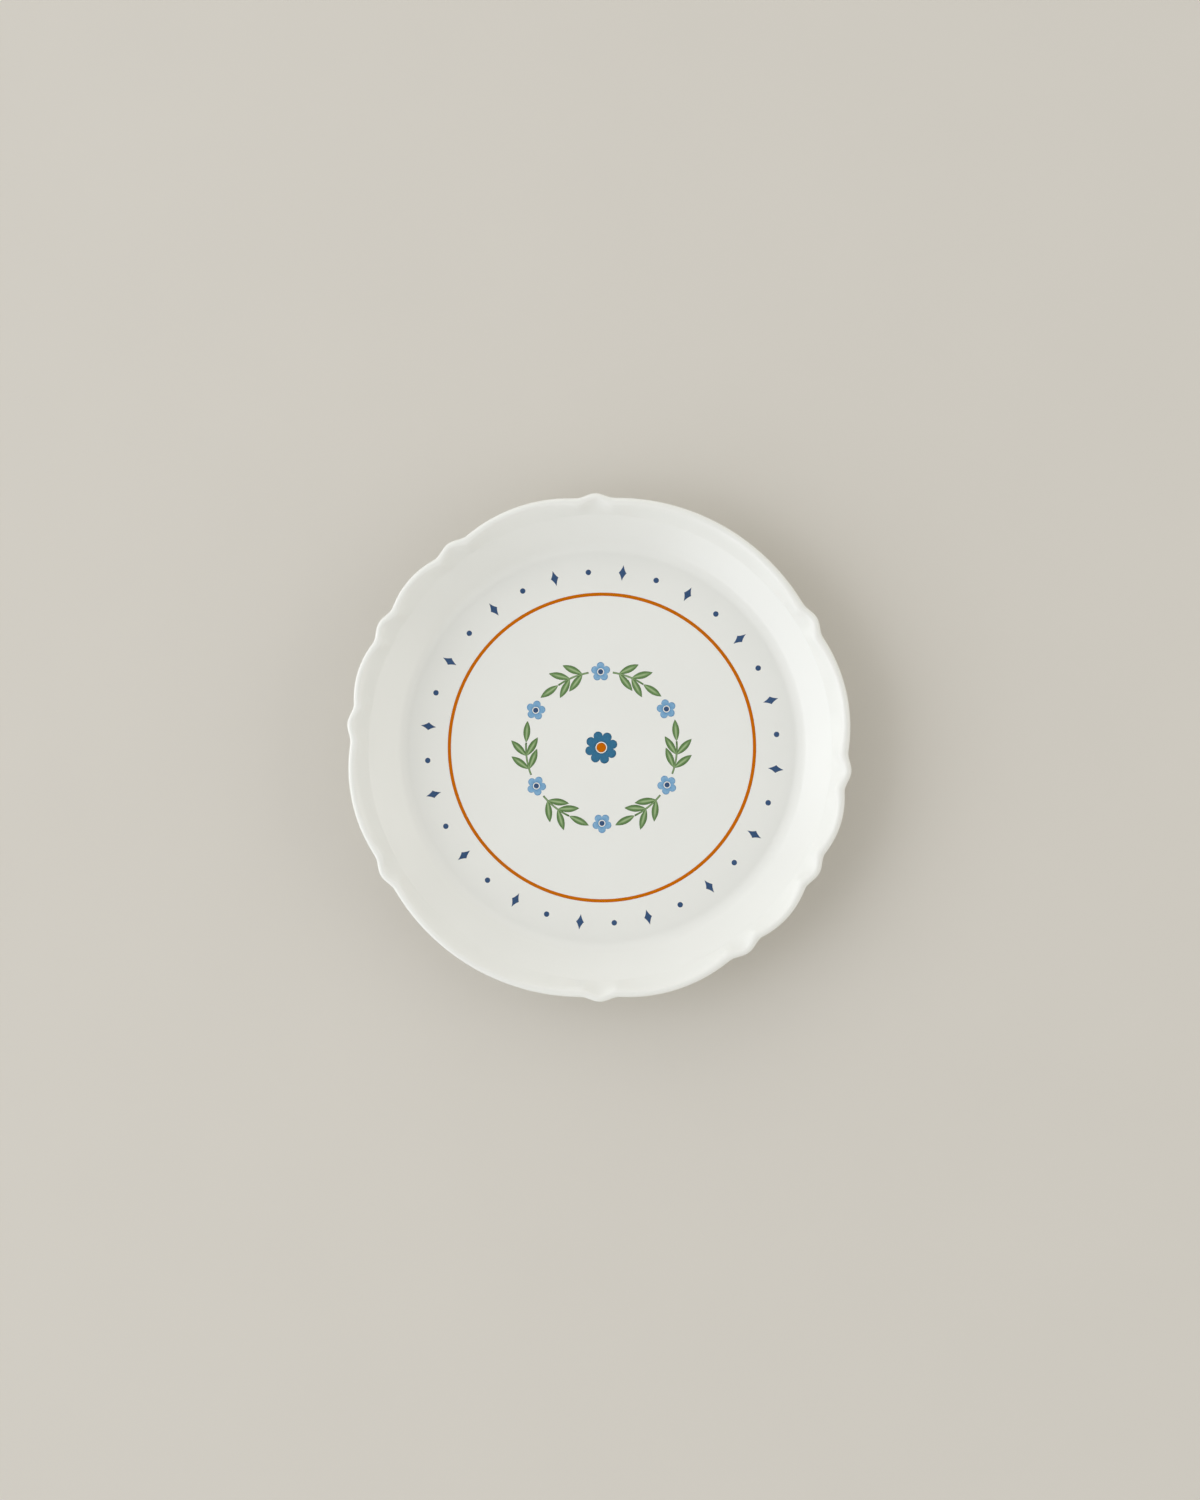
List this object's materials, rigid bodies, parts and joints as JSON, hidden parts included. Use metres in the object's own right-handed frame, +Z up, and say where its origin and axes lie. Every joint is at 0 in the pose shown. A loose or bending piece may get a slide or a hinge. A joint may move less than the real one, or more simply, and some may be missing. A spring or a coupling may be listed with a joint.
{
  "type": "cake plate",
  "caption": "Round white porcelain cake plate: flat well, curved wall and upturned lip with a round, scalloped edge, on a foot ring, with an enamel wreath, line and border in the well.",
  "frame": {"origin": "on the plate's axis, level with the bare face of the foot ring that it stands on", "axes": "+Z up out of the well; +X through the nub between the two shortest scallops; +Y through the crest of a longest scallop"},
  "size_m": [0.165, 0.1648, 0.0206],
  "materials": {
    "porcelain": "gloss",
    "brown_enamel": "gloss",
    "green_enamel": "gloss",
    "sky_blue_enamel": "gloss",
    "cobalt_enamel": "gloss",
    "slate_blue_enamel": "gloss"
  },
  "bodies": {
    "root": {"plate_body": "porcelain", "band_line": "brown_enamel", "rosette": "cobalt_enamel", "rosette_eye": "brown_enamel", "sprig_1": "green_enamel", "blossom_1": "sky_blue_enamel", "blossom_eye_1": "slate_blue_enamel", "sprig_2": "green_enamel", "blossom_2": "sky_blue_enamel", "blossom_eye_2": "slate_blue_enamel", "sprig_3": "green_enamel", "blossom_3": "sky_blue_enamel", "blossom_eye_3": "slate_blue_enamel", "sprig_4": "green_enamel", "blossom_4": "sky_blue_enamel", "blossom_eye_4": "slate_blue_enamel", "sprig_5": "green_enamel", "blossom_5": "sky_blue_enamel", "blossom_eye_5": "slate_blue_enamel", "sprig_6": "green_enamel", "blossom_6": "sky_blue_enamel", "blossom_eye_6": "slate_blue_enamel", "border_lozenge_01": "slate_blue_enamel", "border_dot_01": "slate_blue_enamel", "border_lozenge_02": "slate_blue_enamel", "border_dot_02": "slate_blue_enamel", "border_lozenge_03": "slate_blue_enamel", "border_dot_03": "slate_blue_enamel", "border_lozenge_04": "slate_blue_enamel", "border_dot_04": "slate_blue_enamel", "border_lozenge_05": "slate_blue_enamel", "border_dot_05": "slate_blue_enamel", "border_lozenge_06": "slate_blue_enamel", "border_dot_06": "slate_blue_enamel", "border_lozenge_07": "slate_blue_enamel", "border_dot_07": "slate_blue_enamel", "border_lozenge_08": "slate_blue_enamel", "border_dot_08": "slate_blue_enamel", "border_lozenge_09": "slate_blue_enamel", "border_dot_09": "slate_blue_enamel", "border_lozenge_10": "slate_blue_enamel", "border_dot_10": "slate_blue_enamel", "border_lozenge_11": "slate_blue_enamel", "border_dot_11": "slate_blue_enamel", "border_lozenge_12": "slate_blue_enamel", "border_dot_12": "slate_blue_enamel", "border_lozenge_13": "slate_blue_enamel", "border_dot_13": "slate_blue_enamel", "border_lozenge_14": "slate_blue_enamel", "border_dot_14": "slate_blue_enamel", "border_lozenge_15": "slate_blue_enamel", "border_dot_15": "slate_blue_enamel", "border_lozenge_16": "slate_blue_enamel", "border_dot_16": "slate_blue_enamel"}
  },
  "joints": []
}
